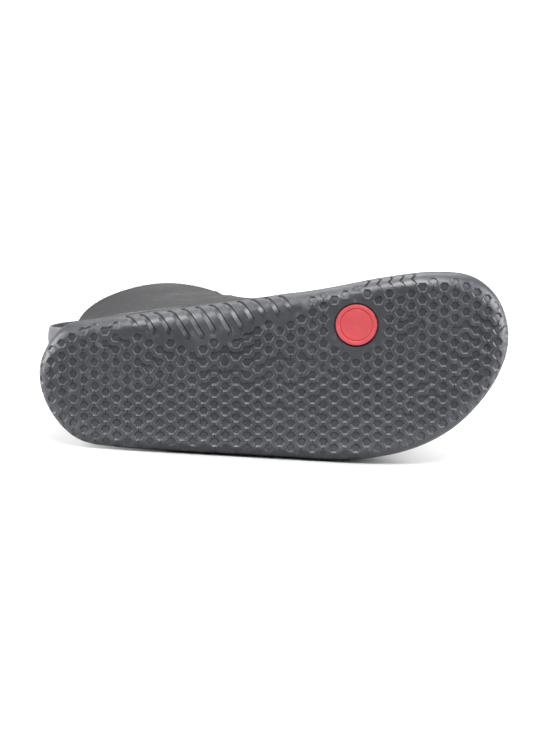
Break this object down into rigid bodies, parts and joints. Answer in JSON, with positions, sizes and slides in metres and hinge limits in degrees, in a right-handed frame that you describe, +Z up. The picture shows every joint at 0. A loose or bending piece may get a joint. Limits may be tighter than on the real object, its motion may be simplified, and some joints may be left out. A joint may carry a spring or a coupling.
{
  "type": "barefoot boot",
  "caption": "Left barefoot ankle boot lying on its outer side: thin rubber cup sole with toe spring and arch, hollow lace-up leather upper, tongue, footbed and heel pull loop.",
  "frame": {"origin": "middle of the bounding box, on the ground that the boot lies on", "axes": "+X from the heel towards the toe, +Y up the shaft of the lying boot, so that the tread faces -Y, +Z up: the inner side of the boot is on top"},
  "size_m": [0.2896, 0.1568, 0.1179],
  "materials": {
    "outsole_rubber": "satin black",
    "inlay_rubber": "satin red",
    "footbed": "matte knit",
    "upper_leather": "fine grain, satin",
    "tongue_leather": "fine grain, satin",
    "webbing": "woven",
    "eyelet_metal": "dark satin",
    "lace": "round braid"
  },
  "bodies": {
    "root": {"outsole": "outsole_rubber", "sole_inlay": "inlay_rubber", "insole": "footbed", "upper": "upper_leather", "tongue": "tongue_leather", "pull_loop": "webbing", "eyelet_outer_1": "eyelet_metal", "eyelet_outer_2": "eyelet_metal", "eyelet_outer_3": "eyelet_metal", "eyelet_outer_4": "eyelet_metal", "eyelet_outer_5": "eyelet_metal", "eyelet_outer_6": "eyelet_metal", "eyelet_inner_1": "eyelet_metal", "eyelet_inner_2": "eyelet_metal", "eyelet_inner_3": "eyelet_metal", "eyelet_inner_4": "eyelet_metal", "eyelet_inner_5": "eyelet_metal", "eyelet_inner_6": "eyelet_metal", "lace_bar_1": "lace", "lace_bar_2": "lace", "lace_bar_3": "lace", "lace_bar_4": "lace", "lace_bar_5": "lace", "lace_bar_6": "lace"}
  },
  "joints": []
}
